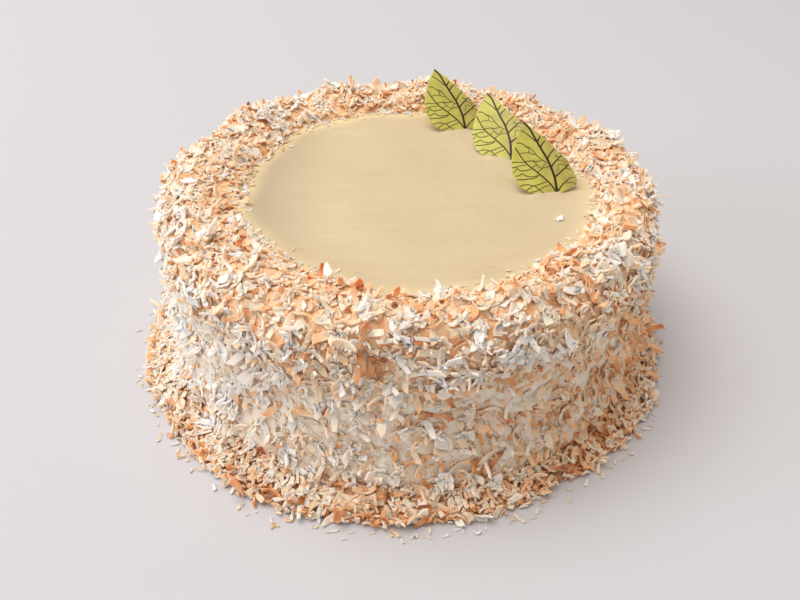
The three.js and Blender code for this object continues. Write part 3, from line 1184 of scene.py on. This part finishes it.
FINE_VEINS = [
    (0.36, [(-7.8, 29.2), (-5.8, 28.1), (-4.4, 25.9), (-2.9, 24.6),
            (-2.0, 22.3), (-1.0, 18.9), (0.2, 16.8), (2.0, 14.3)]),
    (0.28, [(-4.7, 26.0), (-3.5, 24.2), (-4.2, 23.0), (-3.4, 21.5), (-1.7, 20.4)]),
    (0.28, [(-8.5, 23.8), (-6.6, 23.4), (-4.4, 22.5)]),
    (0.34, [(-13.9, 21.5), (-11.5, 20.7), (-8.8, 19.2)]),
    (0.34, [(-8.6, 19.3), (-5.0, 18.5), (-2.3, 17.0), (0.2, 16.7)]),
    (0.36, [(-14.9, 19.2), (-13.4, 18.7), (-12.1, 16.7), (-10.8, 15.7), (-6.8, 14.8)]),
    (0.30, [(-13.3, 18.8), (-11.1, 18.5), (-8.2, 17.6)]),
    (0.30, [(-15.3, 16.4), (-14.5, 17.2), (-13.2, 17.3)]),
    (0.34, [(-15.3, 15.0), (-13.4, 14.4), (-11.9, 14.6), (-10.6, 13.1),
            (-9.0, 11.8), (-6.4, 10.9), (-4.5, 10.7)]),
    (0.38, [(-15.3, 13.1), (-12.6, 11.9), (-9.6, 10.9), (-6.5, 10.2), (-4.0, 10.9)]),
    (0.36, [(-15.2, 9.6), (-12.4, 9.1), (-10.8, 8.3), (-8.9, 6.9), (-6.1, 6.5), (-2.0, 6.2)]),
    (0.36, [(-13.6, 6.3), (-11.2, 6.8), (-8.9, 6.9), (-7.6, 4.7), (-6.0, 1.6)]),
    (0.34, [(-11.6, 4.7), (-8.5, 4.1), (-5.4, 4.4), (-1.6, 4.2)]),
    (0.28, [(-4.6, 18.3), (-3.6, 16.6), (-3.1, 15.2), (-2.3, 13.7), (-1.5, 13.0)]),
    (0.26, [(-6.2, 15.3), (-4.2, 15.6), (-3.1, 15.2)]),
    (0.30, [(-4.5, 12.1), (-1.8, 12.9), (0.4, 12.9), (2.5, 12.0)]),
    (0.24, [(-1.3, 13.0), (-0.4, 14.0), (0.9, 14.6)]),
    (0.26, [(7.4, 13.6), (9.4, 12.9), (10.4, 11.3), (10.9, 9.5)]),
    (0.26, [(4.6, 8.8), (6.1, 9.9), (6.5, 11.2), (7.8, 11.4), (9.1, 10.6), (10.6, 9.5)]),
    (0.28, [(9.6, 8.4), (11.0, 7.6), (12.2, 6.6)]),
    (0.28, [(9.3, 3.4), (10.6, 3.2), (12.4, 2.4)]),
    (0.28, [(6.2, 1.8), (8.6, 1.3), (10.4, 0.4), (11.2, -1.2)]),
    (0.28, [(10.4, 15.2), (11.6, 12.5), (12.3, 9.7)]),
    (0.30, [(8.2, 16.4), (7.4, 15.9), (8.3, 15.2), (9.1, 14.7)]),
]


def leaf_front(across, up, raised=0.0):
    """A place on the leaf's bowed front, in the leaf's own frame."""
    return Vector((across, LEAF_BOW * across * across - LEAF_THICK / 2 - raised, up))


TAB_ROWS = 4
LEAF_ROWS = 48
LEAF_COLUMNS = 24
LEAF_ROUNDED = 0.22 * MM


def make_leaf_plate(name, stand):
    """A thin plate bowed across its midrib, with a pointed tip and softly rounded edges."""
    tab = np.linspace(TAB_BOTTOM, LEAF_FOOT - 0.05 * MM, TAB_ROWS)
    blade = LEAF_FOOT + (LEAF_LENGTH - LEAF_FOOT) * np.linspace(0, 1, LEAF_ROWS) ** 1.7
    rows = [*tab, *blade]
    last = len(rows) - 1
    grid = {"x_subdivisions": LEAF_COLUMNS, "y_subdivisions": last, "size": 2}
    piece = new_piece(name + "_plate", bpy.ops.mesh.primitive_grid_add, **grid)
    shape = bmesh.from_edit_mesh(piece.data)
    for corner in shape.verts:
        height = rows[round((corner.co.y + 1) / 2 * last)]
        left, right = leaf_edges(height)
        across = left + (right - left) * (corner.co.x + 1) / 2
        corner.co = (across, LEAF_BOW * across * across + LEAF_THICK / 2, height)
    bmesh.update_edit_mesh(piece.data)
    bpy.ops.mesh.select_all(action="SELECT")
    bpy.ops.mesh.extrude_region_move(TRANSFORM_OT_translate={"value": (0, -LEAF_THICK, 0)})
    close_edit(piece)
    sharp = {"limit_method": "ANGLE", "angle_limit": math.radians(50)}
    apply_modifier(piece, "BEVEL", width=LEAF_ROUNDED, segments=2, **sharp)
    # How far across the leaf a corner lies, for the finish's painted shade on the right half.
    mark_corners(piece, "across", corners_of(piece)[:, 0] / (30 * MM) + 0.5)
    piece.data.transform(leaf_matrix(stand))
    smooth(piece, 35)
    return piece


def smooth_path(points, steps):
    """A smooth line through the points, with that many steps between each two."""
    padded = [2 * points[0] - points[1], *points, 2 * points[-1] - points[-2]]
    line = []
    for before, start, end, after in zip(padded, padded[1:], padded[2:], padded[3:]):
        for part in np.linspace(0, 1, steps, endpoint=False):
            turn = 2 * start + (end - before) * part
            turn += (2 * before - 5 * start + 4 * end - after) * part**2
            line.append((turn + (3 * start - before - 3 * end + after) * part**3) / 2)
    line.append(points[-1])
    return line


VEIN_RAISED = 0.05 * MM
VEIN_SUNK = 0.15 * MM
VEIN_WIDER = 1.4


def make_vein(width, points, taper):
    """One vein of the print: a flat ribbon on the leaf's front, with its back just sunk in it."""
    line = smooth_path([np.array(point) * MM for point in points], 4)
    grid = {"x_subdivisions": len(line) - 1, "y_subdivisions": 1, "size": 1}
    piece = new_piece("vein", bpy.ops.mesh.primitive_grid_add, **grid)
    shape = bmesh.from_edit_mesh(piece.data)
    order = sorted(shape.verts, key=lambda corner: (corner.co.y, corner.co.x))
    for row, side in enumerate((-1, 1)):
        for index, corner in enumerate(order[row * len(line):(row + 1) * len(line)]):
            before, after = line[max(index - 1, 0)], line[min(index + 1, len(line) - 1)]
            ahead = (after - before) / np.linalg.norm(after - before)
            part = index / (len(line) - 1)
            half = VEIN_WIDER * width * MM / 2 * (1 - taper * part)
            across = line[index] + side * half * np.array((-ahead[1], ahead[0]))
            corner.co = leaf_front(across[0], across[1], -VEIN_SUNK)
    bmesh.update_edit_mesh(piece.data)
    thickness = VEIN_RAISED + VEIN_SUNK
    bpy.ops.mesh.extrude_region_move(TRANSFORM_OT_translate={"value": (0, -thickness, 0)})
    close_edit(piece)
    return piece


def make_print(name, veins, taper, stand, finish):
    """All the veins of one colour on one leaf, as one piece."""
    made = [make_vein(width, points, taper) for width, points in veins]
    bpy.ops.object.select_all(action="DESELECT")
    for vein in made:
        vein.select_set(True)
    bpy.context.view_layer.objects.active = made[0]
    bpy.ops.object.join()
    piece = bpy.context.object
    piece.name = name
    piece.data.name = name
    piece.data.transform(leaf_matrix(stand))
    smooth(piece, 35)
    finish_piece(piece, finish, "chocolate")


def leaf_finish():
    """Yellow-green chocolate, blotchy, with painted shade darkening it towards the leaf's right,
    which turns away from the light.
    """
    finish = Finish(
        "green_chocolate",
        {
            "Subsurface Weight": 0.15,
            "Subsurface Scale": 1.5 * MM,
            "Specular IOR Level": 0.5,
        },
    )
    across = finish.attribute("across")
    blotches = finish.noise(7 * MM, detail=3)
    fine = finish.noise(1.2 * MM, detail=3)
    # Painted shade: the across term darkens the leaf's right half, turned away from the light.
    colour = finish.ramp(
        (blotches * 0.7 + fine * 0.15 + across * 0.35).clamped(),
        [
            (0.30, srgb(208, 208, 112)),
            (0.55, srgb(197, 191, 90)),
            (0.75, srgb(178, 168, 92)),
        ],
    )
    finish.feed("Base Color", colour)
    finish.feed("Roughness", 0.28 + 0.15 * fine)
    finish.bump(fine * 0.4 + blotches * 0.6, 0.15 * MM)
    return finish.material


def print_finish(name, dark, light):
    """The vein print's ink, mottled between two colours."""
    finish = Finish(name, {"Specular IOR Level": 0.5})
    colour = finish.mix(finish.noise(2.5 * MM), dark, light)
    finish.feed("Base Color", colour)
    finish.feed("Roughness", 0.3 + 0.1 * finish.noise(1 * MM))
    return finish.material


def make_leaves():
    """The three leaves, each a plate with its dark main veins and its olive fine ones."""
    green = leaf_finish()
    dark = print_finish("dark_vein_print", srgb(40, 26, 12), srgb(58, 40, 18))
    olive = print_finish("olive_vein_print", srgb(84, 78, 26), srgb(106, 100, 36))
    for name, stand in LEAVES.items():
        plate = make_leaf_plate(name, stand)
        finish_piece(plate, green, "chocolate", name)
        make_print(name + "_main_veins", MAIN_VEINS, 0.35, stand, dark)
        make_print(name + "_fine_veins", FINE_VEINS, 0.1, stand, olive)


# Floor and light


def make_floor():
    disc = {"vertices": 96, "radius": 6, "fill_type": "NGON"}
    floor = new_piece("floor", bpy.ops.mesh.primitive_circle_add, **disc)
    bpy.ops.object.mode_set(mode="OBJECT")
    finish = Finish("pale_floor", {"Roughness": 0.9, "Specular IOR Level": 0.1})
    finish.feed("Base Color", srgb(197, 198, 205))
    floor.data.materials.append(finish.material)


def add_light(name, place, aim, size, watts, colour):
    lamp = bpy.data.lights.new(name, "AREA")
    lamp.shape = "DISK"
    lamp.size = size
    lamp.energy = watts
    lamp.color = colour
    light = bpy.data.objects.new(name, lamp)
    light.location = place
    light.rotation_euler = (Vector(aim) - Vector(place)).to_track_quat("-Z", "Y").to_euler()
    bpy.context.scene.collection.objects.link(light)


def make_light():
    world = bpy.data.worlds.new("room")
    world.use_nodes = True
    sky = world.node_tree.nodes["Background"]
    sky.inputs["Color"].default_value = srgb(232, 223, 212)
    sky.inputs["Strength"].default_value = 0.67
    bpy.context.scene.world = world
    middle = (0, 0, 0.05)
    add_light("key", (-0.9, 0.25, 2.8), middle, 2.6, 76, (1.0, 0.95, 0.88))
    add_light("left_fill", (-2.6, -0.5, 0.9), middle, 1.5, 26, (0.74, 0.87, 1.0))
    bpy.context.scene.view_settings.view_transform = "Standard"


make_camera()
make_cream()
make_coconut()
make_leaves()
make_floor()
make_light()
